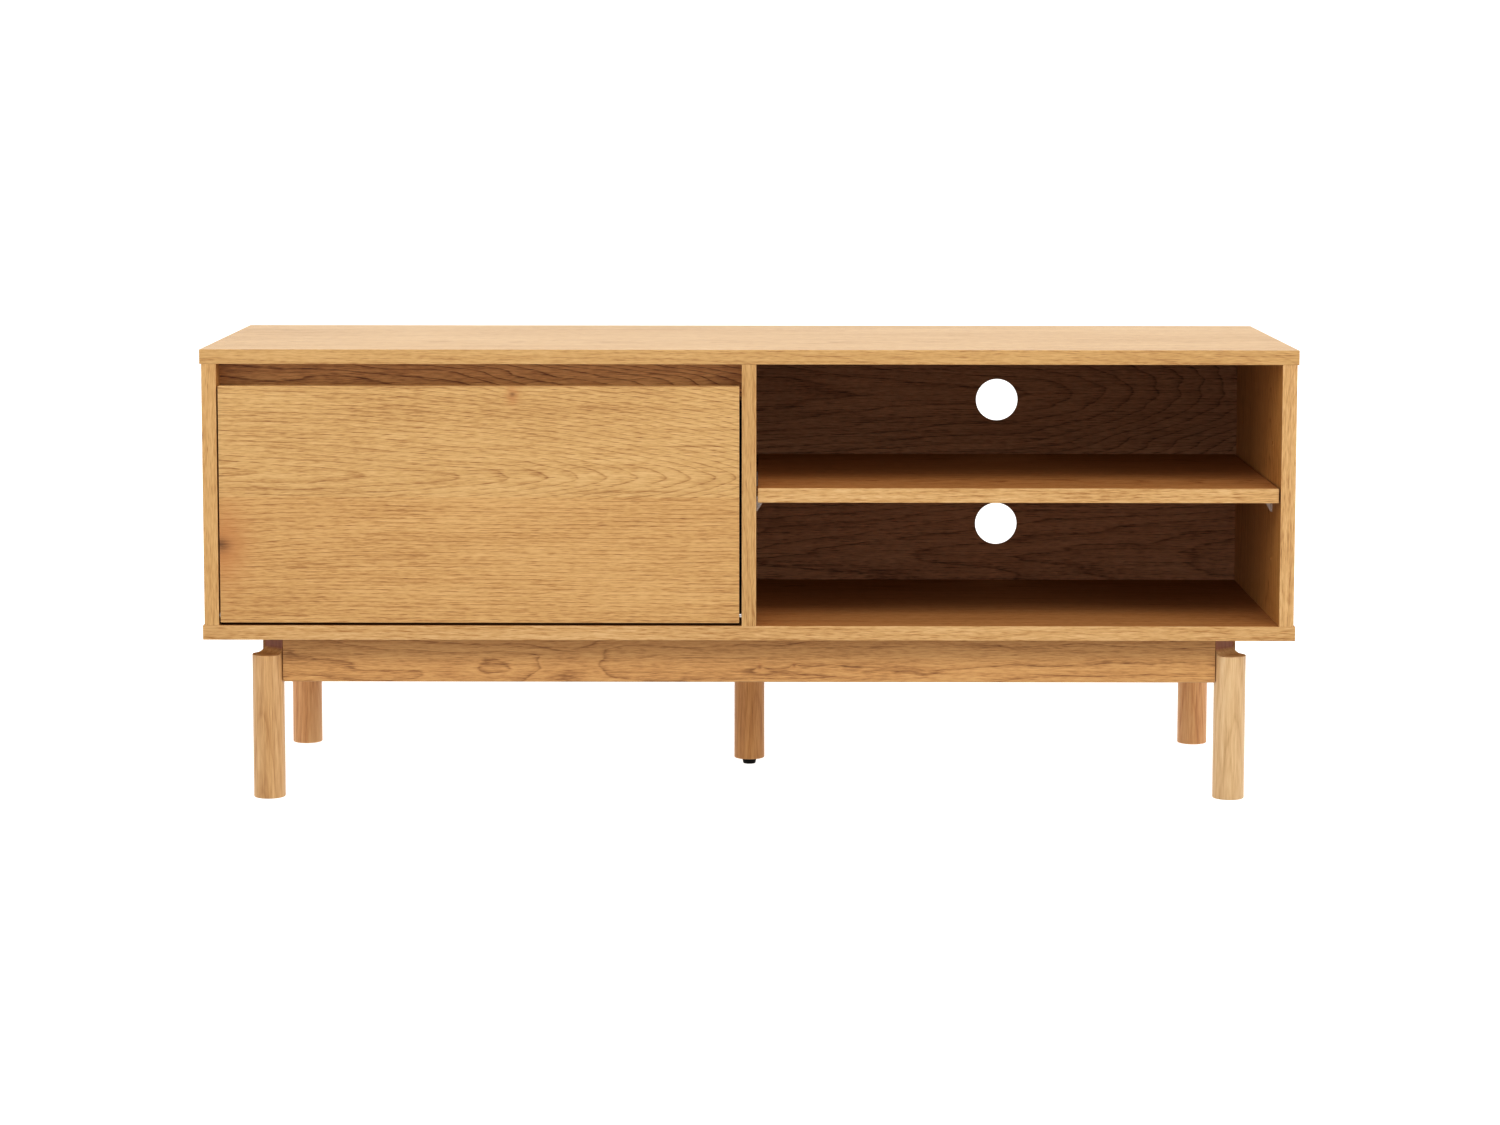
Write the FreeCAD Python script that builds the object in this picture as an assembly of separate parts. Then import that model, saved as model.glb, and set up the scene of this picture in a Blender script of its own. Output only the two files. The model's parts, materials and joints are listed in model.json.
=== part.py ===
import FreeCAD, Part
import math
import os

# Low television stand: an oak-faced carcass on five turned legs. The left bay is closed
# by a drop-down flap door on a slotted stay, the right bay is open and has a shelf.
# Millimetres. X runs along the stand, the front faces -Y, the floor is at Z = 0, and the
# origin is under the middle of the stand.

# ---- overall sizes ---------------------------------------------------------------------
width = 1200.0
depth = 400.0
height = 500.0
leg_height = 180.0            # floor to the underside of the bottom panel
board = 16.0                  # thickness of every faced board, the door included
end_overhang = 2.0            # top and bottom panels past the side panels
board_ease = 0.6              # rounding of the edges that a hand meets

# ---- back panels -----------------------------------------------------------------------
back_thickness = 3.0
back_inset = 20.0             # back of the carcass to the back face of the panel
groove_depth = 5.0
groove_play = 0.2
cable_hole_radius = 25.0
upper_hole_drop = 3.0         # upper cable hole below the middle of its compartment

# ---- finger rail behind the top of the door ---------------------------------------------
rail_setback = 29.0
rail_height = 42.0

# ---- shelf and its supports -------------------------------------------------------------
shelf_end_gap = 1.6
shelf_setback = 3.0
shelf_back_gap = 2.0
shelf_rest_gap = 0.1          # sliding clearance on the supports
pin_row_pitch = 64.0
pin_front_inset = 70.0
pin_rear_inset = 78.0
support_seat = 4.5            # pin axis to the face that carries the shelf
support_reach = 10.5
support_width = 10.0
support_drop = 16.5
support_wall = 1.6
support_pin_radius = 2.5
support_pin_length = 8.0

# ---- flap door --------------------------------------------------------------------------
door_gap_side = 1.5
door_gap_divider = 2.5
door_gap_bottom = 3.0
finger_gap = 24.0
door_ease = 1.0
pivot_from_face = 7.5         # pivot axis behind the front face of the door
pivot_from_bottom = 7.5       # pivot axis above the lower edge of the door
pivot_pin_radius = 3.0
pivot_pin_seat = 9.0          # length of pin held in the carcass
bush_radius = 5.0
bush_length = 14.0
bush_floor = 2.0              # pin tip to the end of the bush
running_gap = 0.05            # radial play of the pins in their bushes

# ---- slotted door stay ------------------------------------------------------------------
stay_radius = 130.0           # door pivot to both stay studs
stay_guide_angle = 35.0       # guide stud, degrees back from straight above the pivot
stay_stud_standoff = 12.0     # door stud behind the back face of the door
stay_stud_radius = 3.0
stay_slot_play = 0.2
stay_arm_width = 14.0
stay_arm_thickness = 2.0
stay_arm_end = 3.0            # metal left past each end of the slot
stay_plate = 1.5              # thickness of both brackets
stay_washer = 2.0             # spacer between the guide plate and the arm
stay_side_play = 0.2          # play along X on both faces of the arm
stay_head_radius = 5.5
stay_head_thickness = 1.5
stay_rivet_head_radius = 4.5
stay_rivet_head_thickness = 1.0
stay_flange_length = 25.0
stay_bracket_height = 30.0
stay_tab_margin = 6.5

# ---- magnetic catch ---------------------------------------------------------------------
catch_length = 44.0
catch_height = 14.0
catch_depth = 27.0
catch_wing = 10.0
catch_wing_thickness = 3.0
catch_wall = 2.0
magnet_length = 34.0
catch_air_gap = 0.3
magnet_proud = 0.3            # magnet in front of its case
strike_length = 40.0
strike_width = 13.0
strike_thickness = 1.2

# ---- legs and their frame ---------------------------------------------------------------
leg_radius = 17.5
leg_end_inset = 67.5
leg_edge_inset = 30.0
leg_foot_ease = 1.2
neck_height = 20.0
neck_cut_past_axis = 7.8
cove_radius = 9.0
centre_leg_offset = 32.0      # behind the middle of the stand
rail_seat_depth = 0.3         # flat cut in the leg where a rail butts
frame_rail_thickness = 16.0
frame_rail_height = 50.0
frame_rail_ease = 1.5
frame_screw_recess = 26.0
frame_screw_margin = 200.0    # outer screws of the long rails from the rail ends
side_screw_margin = 60.0

# ---- corner brackets --------------------------------------------------------------------
bracket_stand_off = 6.5       # leg to the diagonal plate
bracket_thickness = 1.5
bracket_flange = 30.0
bracket_height = 40.0
bracket_drop = 8.0            # below the bottom panel
hanger_bolt_radius = 4.0
hanger_bolt_bite = 25.0
hanger_bolt_drop = 30.0       # bolt axis below the bottom panel
hanger_bolt_tail = 4.0
nut_flats = 13.0
nut_height = 6.5

# ---- centre leg plate and leveller ------------------------------------------------------
plate_size = 56.0
plate_thickness = 2.0
plate_dish_depth = 10.0
plate_dish_radius = 15.0
plate_screw_inset = 8.0
leveller_foot_height = 6.7
leveller_foot_gap = 0.3
leveller_top_radius = 8.5
leveller_bottom_radius = 7.0
leveller_foot_ease = 0.8
leveller_floor = 1.6          # pad left under the stud head
leveller_head_radius = 5.5
leveller_head_height = 2.4
leveller_stud_radius = 4.0
leveller_travel = 10.0
insert_radius = 6.0
insert_length = 15.0
socket_play = 0.15

# ---- fasteners --------------------------------------------------------------------------
fit_gap = 0.05                # radial gap round every hidden fastener
bore_end_gap = 0.5
dowel_radius = 4.0
dowel_in_face = 10.0
dowel_in_edge = 20.0
joint_inset = 60.0            # outer fasteners of a carcass joint from the board edges
dowel_spacing = 50.0          # next to a carcass screw, towards the middle
screw_length = 50.0
screw_head_radius = 5.0
screw_head_height = 3.5
screw_shank_radius = 3.5
screw_thread_radius = 3.0
rail_dowel_rise = 10.0        # above and below the middle of the finger rail
small_screw_radius = 1.75
small_screw_length = 11.5
small_head_radius = 3.5
small_head_height = 1.8

# ---- planes worked out from the sizes above ---------------------------------------------
front = -depth / 2
back = depth / 2
side_outer = width / 2 - end_overhang
side_inner = side_outer - board
carcass_bottom = leg_height
floor_z = carcass_bottom + board
ceiling_z = height - board
inner_height = ceiling_z - floor_z
back_rear = back - back_inset
back_front = back_rear - back_thickness
divider_left = -board / 2
divider_right = board / 2
rail_front = front + rail_setback
rail_back = rail_front + board
rail_bottom = ceiling_z - rail_height

shelf_bottom = floor_z + (inner_height - board) / 2
shelf_top = shelf_bottom + board
pin_mid_z = shelf_bottom - shelf_rest_gap - support_seat
pin_heights = [pin_mid_z + row * pin_row_pitch for row in (-1, 0, 1)]
pin_depths = [front + pin_front_inset, back - pin_rear_inset]

door_left = -side_inner + door_gap_side
door_right = divider_left - door_gap_divider
door_bottom = floor_z + door_gap_bottom
door_top = ceiling_z - finger_gap
door_back = front + board
pivot_y = front + pivot_from_face
pivot_z = door_bottom + pivot_from_bottom

# Both studs stand on one circle about the pivot, so the arm turns half as far as the door.
door_stud_y = door_back + stay_stud_standoff
door_stud_z = pivot_z + math.sqrt(stay_radius ** 2 - (door_stud_y - pivot_y) ** 2)
door_stud_angle = math.asin((door_stud_y - pivot_y) / stay_radius)
guide_angle = math.radians(stay_guide_angle)
guide_y = pivot_y + stay_radius * math.sin(guide_angle)
guide_z = pivot_z + stay_radius * math.cos(guide_angle)
stay_shut_reach = 2 * stay_radius * math.sin((guide_angle - door_stud_angle) / 2)
stay_open_reach = 2 * stay_radius * math.sin((guide_angle - door_stud_angle + math.pi / 2) / 2)
arm_left = -side_inner + stay_plate + stay_washer + stay_side_play
arm_right = arm_left + stay_arm_thickness
tab_left = arm_right + stay_side_play

leg_x = width / 2 - leg_end_inset
leg_y = depth / 2 - leg_edge_inset
rail_end = leg_radius - rail_seat_depth
frame_rail_bottom = carcass_bottom - frame_rail_height
centre_leg_bottom = leveller_foot_height + leveller_foot_gap
centre_leg_top = carcass_bottom - plate_dish_depth

X_AXIS = FreeCAD.Vector(1, 0, 0)
Y_AXIS = FreeCAD.Vector(0, 1, 0)
Z_AXIS = FreeCAD.Vector(0, 0, 1)


# ---- shared shapes ----------------------------------------------------------------------
def block(x_range, y_range, z_range):
    """Box between two corners."""
    size = [high - low for low, high in (x_range, y_range, z_range)]
    corner = FreeCAD.Vector(x_range[0], y_range[0], z_range[0])
    return Part.makeBox(size[0], size[1], size[2], corner)


def rod(start, axis, radius, length):
    """Cylinder from a point along an axis."""
    return Part.makeCylinder(radius, length, FreeCAD.Vector(*start), axis)


def bore(start, axis, radius, length):
    """Hole for a rod of the same start, axis, radius and length, with play all round."""
    begin = FreeCAD.Vector(*start) - axis * bore_end_gap
    return Part.makeCylinder(radius + fit_gap, length + 2 * bore_end_gap, begin, axis)


def eased(shape, radius, picks):
    """Round the edges that the pick function accepts."""
    edges = [edge for edge in shape.Edges if picks(edge)]
    return shape.makeFillet(radius, edges)


def lies_at(edge, **planes):
    """True where the whole edge lies in the given planes, such as y=-200."""
    box = edge.BoundBox
    limits = {"x": (box.XMin, box.XMax), "y": (box.YMin, box.YMax), "z": (box.ZMin, box.ZMax)}
    return all(abs(end - value) < 1e-4 for name, value in planes.items() for end in limits[name])


def small_screw(seat, axis):
    """Pan-head wood screw: the head's underside is at the seat, the shank goes along axis."""
    seat = FreeCAD.Vector(*seat)
    shank = Part.makeCylinder(small_screw_radius, small_screw_length, seat, axis)
    head = Part.makeCylinder(small_head_radius, small_head_height, seat, axis * -1)
    dome = eased(head, small_head_height * 0.6,
                 lambda edge: edge.BoundBox.DiagonalLength > 0.1
                 and (edge.CenterOfMass - (seat - axis * small_head_height)).Length < 1e-4)
    return dome.fuse(shank).removeSplitter()


def small_screw_bore(seat, axis):
    """Clear hole through the plate and pilot hole in the wood for a small screw."""
    return bore(seat, axis, small_screw_radius, small_screw_length)


# ---- carcass fasteners ------------------------------------------------------------------
upright_centres = [-side_outer + board / 2, 0.0, side_outer - board / 2]
screw_depths = [front + joint_inset, back - joint_inset]
bottom_dowel_depths = [screw_depths[0] + dowel_spacing, screw_depths[1] - dowel_spacing]
top_dowel_depths = [screw_depths[0], 0.0, screw_depths[1]]
rail_dowel_heights = [(rail_bottom + ceiling_z) / 2 + side * rail_dowel_rise for side in (-1, 1)]
rail_dowel_y = (rail_front + rail_back) / 2
dowel_length = dowel_in_face + dowel_in_edge


def dowel_places():
    """Start, axis of every dowel in the carcass."""
    places = []
    for x in upright_centres:
        for y in top_dowel_depths:
            places.append(((x, y, ceiling_z - dowel_in_edge), Z_AXIS))
        for y in bottom_dowel_depths:
            places.append(((x, y, floor_z - dowel_in_face), Z_AXIS))
    for z in rail_dowel_heights:
        places.append(((-side_inner - dowel_in_face, rail_dowel_y, z), X_AXIS))
        places.append(((divider_left - dowel_in_edge, rail_dowel_y, z), X_AXIS))
    return places


def carcass_screw(x, y):
    """Stepped screw up through the bottom panel into the end of an upright."""
    head = rod((x, y, carcass_bottom), Z_AXIS, screw_head_radius, screw_head_height)
    shank = rod((x, y, carcass_bottom), Z_AXIS, screw_shank_radius, board)
    thread = rod((x, y, carcass_bottom), Z_AXIS, screw_thread_radius, screw_length)
    return head.multiFuse([shank, thread]).removeSplitter()


def carcass_screw_bore(x, y):
    """Stepped hole for a carcass screw."""
    head = rod((x, y, carcass_bottom - 1), Z_AXIS, screw_head_radius + fit_gap, screw_head_height + 1)
    shank = rod((x, y, carcass_bottom), Z_AXIS, screw_shank_radius + fit_gap, board)
    thread = bore((x, y, carcass_bottom), Z_AXIS, screw_thread_radius, screw_length)
    return head.multiFuse([shank, thread])


dowel_bores = [bore(start, axis, dowel_radius, dowel_length) for start, axis in dowel_places()]
screw_places = [(x, y) for x in upright_centres for y in screw_depths]
screw_bores = [carcass_screw_bore(x, y) for x, y in screw_places]


# ---- carcass boards ---------------------------------------------------------------------
def back_groove(x_range, z_range):
    """Slot that takes the edge of a back panel."""
    return block(x_range, (back_front - groove_play / 2, back_rear + groove_play / 2), z_range)


def long_grooves(z_range):
    """Slots along the top or bottom panel, each as long as the back panel of its bay."""
    return [back_groove((low - groove_depth, high + groove_depth), z_range) for low, high in bay_spans]


def long_panel(z_low, bores):
    """Top or bottom panel with its grooves and fastener holes, all outer edges eased."""
    panel = block((-width / 2, width / 2), (front, back), (z_low, z_low + board))
    panel = panel.makeFillet(board_ease, panel.Edges)
    return panel.cut(bores)


def top_panel():
    return long_panel(ceiling_z, dowel_bores + long_grooves((ceiling_z - 1, ceiling_z + groove_depth)))


def bottom_panel():
    grooves = long_grooves((floor_z - groove_depth, floor_z + 1))
    holes = dowel_bores + screw_bores + grooves + frame_screw_bores + plate_screw_bores
    return long_panel(carcass_bottom, holes)


def upright(x_low, bores):
    """Side or divider board between the top and bottom panels, front and back edges eased."""
    panel = block((x_low, x_low + board), (front, back), (floor_z, ceiling_z))
    panel = eased(panel, board_ease, lambda edge: edge.BoundBox.ZLength > inner_height - 1)
    return panel.cut(dowel_bores + screw_bores + bores)


def shelf_pin_bores(face_x, into):
    """Three rows of two blind holes for the shelf supports."""
    return [bore((face_x, y, z), into, support_pin_radius, support_pin_length)
            for y in pin_depths for z in pin_heights]


def left_side_panel():
    groove = back_groove((-side_inner - groove_depth, -side_inner + 1), (floor_z, ceiling_z))
    pin_seat = bore((-side_inner, pivot_y, pivot_z), X_AXIS * -1, pivot_pin_radius, pivot_pin_seat)
    guide_bores = [small_screw_bore(seat, X_AXIS * -1) for seat in guide_screw_seats]
    return upright(-side_outer, [groove, pin_seat] + guide_bores)


def right_side_panel():
    groove = back_groove((side_inner - 1, side_inner + groove_depth), (floor_z, ceiling_z))
    return upright(side_inner, [groove] + shelf_pin_bores(side_inner, X_AXIS))


def divider_panel():
    left_groove = back_groove((divider_left - 1, divider_left + groove_depth), (floor_z, ceiling_z))
    right_groove = back_groove((divider_right - groove_depth, divider_right + 1), (floor_z, ceiling_z))
    pin_seat = bore((divider_left, pivot_y, pivot_z), X_AXIS, pivot_pin_radius, pivot_pin_seat)
    return upright(divider_left, [left_groove, right_groove, pin_seat]
                   + shelf_pin_bores(divider_right, X_AXIS * -1))


def back_panel(x_low, x_high, cuts):
    """Thin panel that slides into the grooves round one bay."""
    tongue = groove_depth - groove_play
    panel = block((x_low - tongue, x_high + tongue), (back_front, back_rear),
                  (floor_z - tongue, ceiling_z + tongue))
    return panel.cut(cuts) if cuts else panel


def cable_holes():
    """One hole through the right back panel into each compartment."""
    x = (divider_right + side_inner) / 2
    heights = [(floor_z + shelf_bottom) / 2, (shelf_top + ceiling_z) / 2 - upper_hole_drop]
    return [rod((x, back_front - 1, z), Y_AXIS, cable_hole_radius, back_thickness + 2)
            for z in heights]


def finger_rail():
    rail = block((-side_inner, divider_left), (rail_front, rail_back), (rail_bottom, ceiling_z))
    rail = eased(rail, board_ease, lambda edge: lies_at(edge, y=rail_front, z=rail_bottom))
    return rail.cut(dowel_bores + [small_screw_bore(seat, Z_AXIS) for seat in catch_screw_seats])


def shelf():
    panel = block((divider_right + shelf_end_gap, side_inner - shelf_end_gap),
                  (front + shelf_setback, back_front - shelf_back_gap), (shelf_bottom, shelf_top))
    return panel.makeFillet(board_ease, panel.Edges)


def shelf_support(face_x, y, into_bay):
    """Clear plug-in support: a pin, a wall plate, a seat and one triangular web."""
    wall_far = face_x + into_bay * support_wall
    reach_far = face_x + into_bay * support_reach
    seat_z = pin_mid_z + support_seat
    low_z = seat_z - support_drop
    half = support_width / 2
    wall = block(sorted((face_x, wall_far)), (y - half, y + half), (low_z, seat_z))
    seat = block(sorted((face_x, reach_far)), (y - half, y + half), (seat_z - support_wall, seat_z))
    web_y = y - support_wall / 2
    corners = [FreeCAD.Vector(wall_far, web_y, low_z), FreeCAD.Vector(reach_far, web_y, seat_z - support_wall),
               FreeCAD.Vector(wall_far, web_y, seat_z - support_wall)]
    web = Part.Face(Part.makePolygon(corners + corners[:1])).extrude(Y_AXIS * support_wall)
    pin = rod((face_x, y, pin_mid_z), X_AXIS * -into_bay, support_pin_radius, support_pin_length)
    return wall.multiFuse([seat, web, pin]).removeSplitter()


def shelf_supports():
    faces = [(divider_right, 1), (side_inner, -1)]
    return [shelf_support(face_x, y, into_bay) for face_x, into_bay in faces for y in pin_depths]


bay_spans = [(-side_inner, divider_left), (divider_right, side_inner)]


# ---- flap door and its pivots -----------------------------------------------------------
def door_panel():
    panel = block((door_left, door_right), (front, door_back), (door_bottom, door_top))
    panel = panel.makeFillet(door_ease, panel.Edges)
    bushes = [rod((door_left - 1, pivot_y, pivot_z), X_AXIS, bush_radius + fit_gap, bush_length + 1),
              rod((door_right + 1, pivot_y, pivot_z), X_AXIS * -1, bush_radius + fit_gap, bush_length + 1)]
    screws = [small_screw_bore(seat, Y_AXIS * -1) for seat in stay_flange_seats + strike_seats]
    return panel.cut(bushes + screws + [strike_countersink(fit_gap)])


def door_bush(end_x, into_door):
    """Nylon bush in the end of the door, blind at its inner end."""
    outer = rod((end_x, pivot_y, pivot_z), into_door, bush_radius, bush_length)
    inner = rod((end_x, pivot_y, pivot_z), into_door, pivot_pin_radius + running_gap,
                bush_length - bush_floor / 2)
    return outer.cut(inner)


def door_bushes():
    return [door_bush(door_left, X_AXIS), door_bush(door_right, X_AXIS * -1)]


def pivot_pin(carcass_x, into_door, gap):
    """Steel pin pressed into the carcass, its free end in the bush."""
    start = FreeCAD.Vector(carcass_x, pivot_y, pivot_z) - into_door * pivot_pin_seat
    length = pivot_pin_seat + gap + bush_length - bush_floor
    return Part.makeCylinder(pivot_pin_radius, length, start, into_door)


# ---- slotted stay -----------------------------------------------------------------------
guide_plate_height = stay_bracket_height + 6
guide_screw_rise = guide_plate_height / 2 - 6
guide_screw_seats = [(-side_inner + stay_plate, guide_y, guide_z + side * guide_screw_rise)
                     for side in (-1, 1)]
flange_screw_x = tab_left + stay_flange_length - 7
flange_screw_rise = stay_bracket_height / 2 - 6
stay_flange_seats = [(flange_screw_x, door_back + stay_plate, door_stud_z + side * flange_screw_rise)
                     for side in (-1, 1)]


def stay_guide():
    """Plate on the side panel with the headed stud that runs in the slot of the arm."""
    half_width = stay_arm_width / 2 + 1
    plate = block((-side_inner, -side_inner + stay_plate), (guide_y - half_width, guide_y + half_width),
                  (guide_z - guide_plate_height / 2, guide_z + guide_plate_height / 2))
    plate = eased(plate, 4.0, lambda edge: edge.BoundBox.XLength > stay_plate - 0.1
                  and edge.BoundBox.DiagonalLength < stay_plate + 0.1)
    plate = plate.cut([small_screw_bore(seat, X_AXIS * -1) for seat in guide_screw_seats])
    washer = rod((-side_inner + stay_plate, guide_y, guide_z), X_AXIS, stay_head_radius, stay_washer)
    stud_length = stay_washer + stay_arm_thickness + 2 * stay_side_play + stay_head_thickness
    stud = rod((-side_inner + stay_plate, guide_y, guide_z), X_AXIS, stay_stud_radius, stud_length)
    head = rod((arm_right + stay_side_play, guide_y, guide_z), X_AXIS, stay_head_radius, stay_head_thickness)
    return plate.multiFuse([washer, stud, head]).removeSplitter()


def stay_bracket():
    """Angle bracket screwed to the back of the door; its tab carries the arm."""
    low_z = door_stud_z - stay_bracket_height / 2
    high_z = door_stud_z + stay_bracket_height / 2
    flange = block((tab_left, tab_left + stay_flange_length), (door_back, door_back + stay_plate), (low_z, high_z))
    tab_reach = door_stud_y + stay_tab_margin
    tab = block((tab_left, tab_left + stay_plate), (door_back, tab_reach), (low_z, high_z))
    tab = eased(tab, 6.0, lambda edge: edge.BoundBox.XLength > stay_plate - 0.1 and edge.BoundBox.YMin > door_back + 1
                and edge.BoundBox.DiagonalLength < stay_plate + 0.1)
    hole = bore((tab_left, door_stud_y, door_stud_z), X_AXIS, stay_stud_radius, stay_plate)
    screws = [small_screw_bore(seat, Y_AXIS * -1) for seat in stay_flange_seats]
    return flange.fuse(tab).removeSplitter().cut([hole] + screws)


def stay_rivet():
    """Headed rivet through the arm and the tab of the door bracket."""
    head_left = arm_left - stay_side_play - stay_rivet_head_thickness
    shank_end = tab_left + stay_plate
    head = rod((head_left, door_stud_y, door_stud_z), X_AXIS, stay_rivet_head_radius, stay_rivet_head_thickness)
    shank = rod((head_left, door_stud_y, door_stud_z), X_AXIS, stay_stud_radius,
                shank_end - head_left + stay_rivet_head_thickness)
    tail = rod((shank_end, door_stud_y, door_stud_z), X_AXIS, stay_rivet_head_radius, stay_rivet_head_thickness)
    return head.multiFuse([shank, tail]).removeSplitter()


def slot_shape(start, end, radius, thickness):
    """Flat bar with round ends along Y, from its lowest X."""
    bar = block((0, thickness), (start, end), (-radius, radius))
    ends = [rod((0, place, 0), X_AXIS, radius, thickness) for place in (start, end)]
    return bar.multiFuse(ends).removeSplitter()


def stay_arm():
    """Slotted arm, drawn along +Y from the door stud and turned to the guide stud."""
    slot_radius = stay_stud_radius + stay_slot_play
    slot_start = stay_shut_reach - stay_slot_play
    slot_end = stay_open_reach + stay_slot_play
    tip = slot_end + slot_radius + stay_arm_end - stay_arm_width / 2
    arm = slot_shape(0, tip, stay_arm_width / 2, stay_arm_thickness)
    slot = slot_shape(slot_start, slot_end, slot_radius, stay_arm_thickness + 2)
    slot.translate(X_AXIS * -1)
    eye = rod((-1, 0, 0), X_AXIS, stay_stud_radius + running_gap, stay_arm_thickness + 2)
    arm = arm.cut([slot, eye])
    turn = math.degrees(math.atan2(guide_z - door_stud_z, guide_y - door_stud_y))
    arm.rotate(FreeCAD.Vector(0, 0, 0), X_AXIS, turn)
    arm.translate(FreeCAD.Vector(arm_left, door_stud_y, door_stud_z))
    return arm


# ---- magnetic catch ---------------------------------------------------------------------
catch_x = (-side_inner + divider_left) / 2
strike_z = rail_bottom - catch_height / 2
catch_front = door_back + strike_thickness + catch_air_gap
wing_middle = catch_length / 2 + catch_wing / 2
catch_screw_y = (rail_front + rail_back) / 2
catch_screw_seats = [(catch_x + side * wing_middle, catch_screw_y, rail_bottom - catch_wing_thickness)
                     for side in (-1, 1)]
strike_seats = [(catch_x, door_back + strike_thickness, strike_z)]


def magnet_block(play):
    """The magnet and its pole plates; play widens it into the pocket that holds it."""
    half = magnet_length / 2 + play
    return block((catch_x - half, catch_x + half),
                 (catch_front, catch_front + catch_depth - catch_wall + play),
                 (rail_bottom - catch_height + catch_wall - play, rail_bottom - catch_wall + play))


def catch_case():
    """Moulded case under the finger rail, with a screw wing at each end."""
    case_front = catch_front + magnet_proud
    case = block((catch_x - catch_length / 2, catch_x + catch_length / 2),
                 (case_front, catch_front + catch_depth), (rail_bottom - catch_height, rail_bottom))
    case = eased(case, 1.0, lambda edge: edge.BoundBox.ZMax < rail_bottom - 1 or lies_at(edge, y=case_front))
    half = catch_length / 2 + catch_wing
    wing_half_depth = catch_wing / 2
    wings = block((catch_x - half, catch_x + half),
                  (catch_screw_y - wing_half_depth, catch_screw_y + wing_half_depth),
                  (rail_bottom - catch_wing_thickness, rail_bottom))
    wings = eased(wings, catch_wing / 2 - 1, lambda edge: edge.BoundBox.ZLength > catch_wing_thickness - 0.1
                  and edge.BoundBox.DiagonalLength < catch_wing_thickness + 0.1)
    case = case.fuse(wings).removeSplitter()
    return case.cut([magnet_block(fit_gap)] + [small_screw_bore(seat, Z_AXIS) for seat in catch_screw_seats])


def strike_plate():
    """Steel plate on the back of the door, pulled by the magnet."""
    plate = block((catch_x - strike_length / 2, catch_x + strike_length / 2),
                  (door_back, door_back + strike_thickness),
                  (strike_z - strike_width / 2, strike_z + strike_width / 2))
    plate = eased(plate, 3.0, lambda edge: edge.BoundBox.YLength > strike_thickness - 0.1
                  and edge.BoundBox.DiagonalLength < strike_thickness + 0.1)
    return plate.cut(strike_countersink(fit_gap))


def strike_countersink(play):
    """Cone of the flat-head strike screw, flush with the plate."""
    seat = FreeCAD.Vector(*strike_seats[0])
    return Part.makeCone(small_head_radius - 0.4 + play, small_screw_radius + play, small_head_height,
                         seat, Y_AXIS * -1)


def strike_screw():
    seat = strike_seats[0]
    return strike_countersink(0).fuse(rod(seat, Y_AXIS * -1, small_screw_radius, small_screw_length)).removeSplitter()


# ---- legs and the frame under the carcass ----------------------------------------------
def corner_legs():
    """Names and signs of the four outer legs."""
    return [("front_left_leg", -1, -1), ("front_right_leg", 1, -1),
            ("rear_left_leg", -1, 1), ("rear_right_leg", 1, 1)]


def hanger_axis(side_x, side_y):
    """Direction from the leg's axis to the inner corner of the frame."""
    return FreeCAD.Vector(-side_x, -side_y, 0).normalize()


def hanger_start(side_x, side_y):
    """Buried end of the hanger bolt."""
    centre = FreeCAD.Vector(side_x * leg_x, side_y * leg_y, carcass_bottom - hanger_bolt_drop)
    return centre + hanger_axis(side_x, side_y) * (leg_radius - hanger_bolt_bite)


def corner_leg(side_x, side_y):
    """Turned leg: its neck is coved away on the outer corner, flats seat the two rails."""
    leg = rod((0, 0, 0), Z_AXIS, leg_radius, carcass_bottom)
    leg = eased(leg, leg_foot_ease, lambda edge: lies_at(edge, z=0))
    shoulder = carcass_bottom - neck_height
    span = leg_radius + 1
    notch = block((-neck_cut_past_axis, span), (-span, span), (shoulder, carcass_bottom + 1))
    notch = eased(notch, cove_radius, lambda edge: lies_at(edge, x=-neck_cut_past_axis, z=shoulder))
    notch.rotate(FreeCAD.Vector(0, 0, 0), Z_AXIS, math.degrees(math.atan2(side_y, side_x)))
    flat_z = (frame_rail_bottom, carcass_bottom + 1)
    flat_x = block(sorted((-side_x * rail_end, -side_x * span)), (-span, span), flat_z)
    flat_y = block((-span, span), sorted((-side_y * rail_end, -side_y * span)), flat_z)
    leg = leg.cut([notch, flat_x, flat_y])
    leg.translate(FreeCAD.Vector(side_x * leg_x, side_y * leg_y, 0))
    start = hanger_start(side_x, side_y)
    return leg.cut(bore(start, hanger_axis(side_x, side_y), hanger_bolt_radius, hanger_bolt_bite))


def frame_rail(length, along_x):
    """Rail on edge under the bottom panel, centred on the origin."""
    half = frame_rail_thickness / 2
    z_range = (frame_rail_bottom, carcass_bottom)
    spans = ((-length / 2, length / 2), (-half, half))
    rail = block(spans[0], spans[1], z_range) if along_x else block(spans[1], spans[0], z_range)
    return eased(rail, frame_rail_ease, lambda edge: lies_at(edge, z=frame_rail_bottom))


def frame_screw_places():
    """Screws up through the rails into the bottom panel."""
    long_end = leg_x - rail_end - frame_screw_margin
    side_end = leg_y - rail_end - side_screw_margin
    places = [(x, side * leg_y) for side in (-1, 1) for x in (-long_end, 0.0, long_end)]
    return places + [(side * leg_x, y) for side in (-1, 1) for y in (-side_end, side_end)]


frame_screw_seat = frame_rail_bottom + frame_screw_recess
frame_screw_length = carcass_bottom - frame_screw_seat + small_screw_length
frame_screw_bores = [bore((x, y, frame_screw_seat), Z_AXIS, small_screw_radius, frame_screw_length)
                     for x, y in frame_screw_places()]
frame_screw_recesses = [rod((x, y, frame_rail_bottom - 1), Z_AXIS, small_head_radius + 1, frame_screw_recess + 1)
                        for x, y in frame_screw_places()]


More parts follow.
